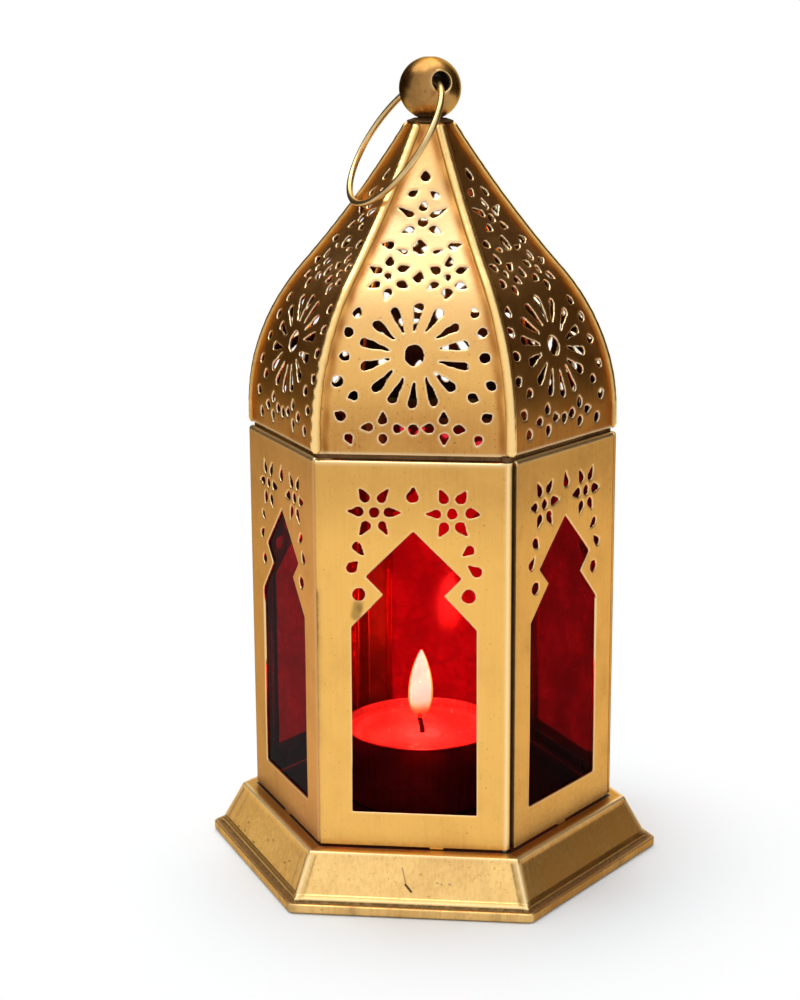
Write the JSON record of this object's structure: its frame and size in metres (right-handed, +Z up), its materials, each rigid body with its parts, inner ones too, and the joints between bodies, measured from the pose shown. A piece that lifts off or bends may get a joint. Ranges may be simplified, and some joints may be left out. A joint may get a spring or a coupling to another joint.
{
  "type": "ramadan candle lantern",
  "caption": "Hexagonal brass fanous lantern with pierced onion dome, ruby glass windows, hinged door, ball finial with carry ring, and a tealight standing on its flared plinth.",
  "frame": {"origin": "middle of the plinth's hem, on the ground under the lantern", "axes": "+Z up through the finial, -Y out of the door, +X to the right of someone who faces the door; the corners of the hexagon lie on +X and -X"},
  "size_m": [0.1082, 0.0936, 0.1858],
  "materials": {
    "plinth_brass": "pressed brass, brushed and lightly scratched",
    "wall_brass": "satin brass sheet, pierced by hand",
    "dome_brass": "satin brass sheet, pierced by hand",
    "rib_brass": "soldered seam strip, rubbed bright",
    "fitting_brass": "turned and filed brass",
    "ring_brass": "drawn brass wire, dulled",
    "rail_brass": "folded brass strip",
    "ruby_glass": "clear ruby sheet glass",
    "steel": "plain steel wire and fittings",
    "cup_aluminium": "thin drawn foil",
    "wax": "white paraffin wax, softened by the flame",
    "wick_cotton": "charred cotton braid"
  },
  "bodies": {
    "lantern": {"base_plinth": "plinth_brass", "wall_right": "wall_brass", "wall_rear_right": "wall_brass", "wall_rear": "wall_brass", "wall_rear_left": "wall_brass", "wall_left": "wall_brass", "dome_gore_front": "dome_brass", "dome_gore_right": "dome_brass", "dome_gore_rear_right": "dome_brass", "dome_gore_rear": "dome_brass", "dome_gore_rear_left": "dome_brass", "dome_gore_left": "dome_brass", "dome_rib_front_right": "rib_brass", "dome_rib_right": "rib_brass", "dome_rib_rear_right": "rib_brass", "dome_rib_rear_left": "rib_brass", "dome_rib_left": "rib_brass", "dome_rib_front_left": "rib_brass", "dome_cap": "fitting_brass", "finial_ball": "fitting_brass", "neck_frame": "fitting_brass", "pane_rails_right": "rail_brass", "pane_rails_rear_right": "rail_brass", "pane_rails_rear": "rail_brass", "pane_rails_rear_left": "rail_brass", "pane_rails_left": "rail_brass", "pane_right": "ruby_glass", "pane_rear_right": "ruby_glass", "pane_rear": "ruby_glass", "pane_rear_left": "ruby_glass", "pane_left": "ruby_glass", "hinge_pin": "steel", "finial_stud": "steel", "finial_nut": "steel"},
    "door": {"door_panel": "wall_brass", "door_pane": "ruby_glass", "door_pane_rails": "rail_brass"},
    "ring": {"carry_ring": "ring_brass"},
    "tealight": {"tealight_cup": "cup_aluminium", "tealight_wax": "wax", "wick": "wick_cotton", "wick_sustainer": "steel"}
  },
  "joints": [
    {"name": "door_swing", "type": "hinge", "parent": "lantern", "child": "door", "pos_m": [0.0201, -0.03599, 0.057], "axis": [0, 0, 1], "range_deg": [0, 120]},
    {"name": "ring_swing", "type": "hinge", "parent": "lantern", "child": "ring", "pos_m": [0, 0, 0.1804], "axis": [-0.5, 0.866, 0], "range_deg": [0, 292]},
    {"name": "tealight_lift", "type": "slide", "parent": "lantern", "child": "tealight", "axis": [0, 0, 1], "range_m": [0, 0.035]}
  ]
}
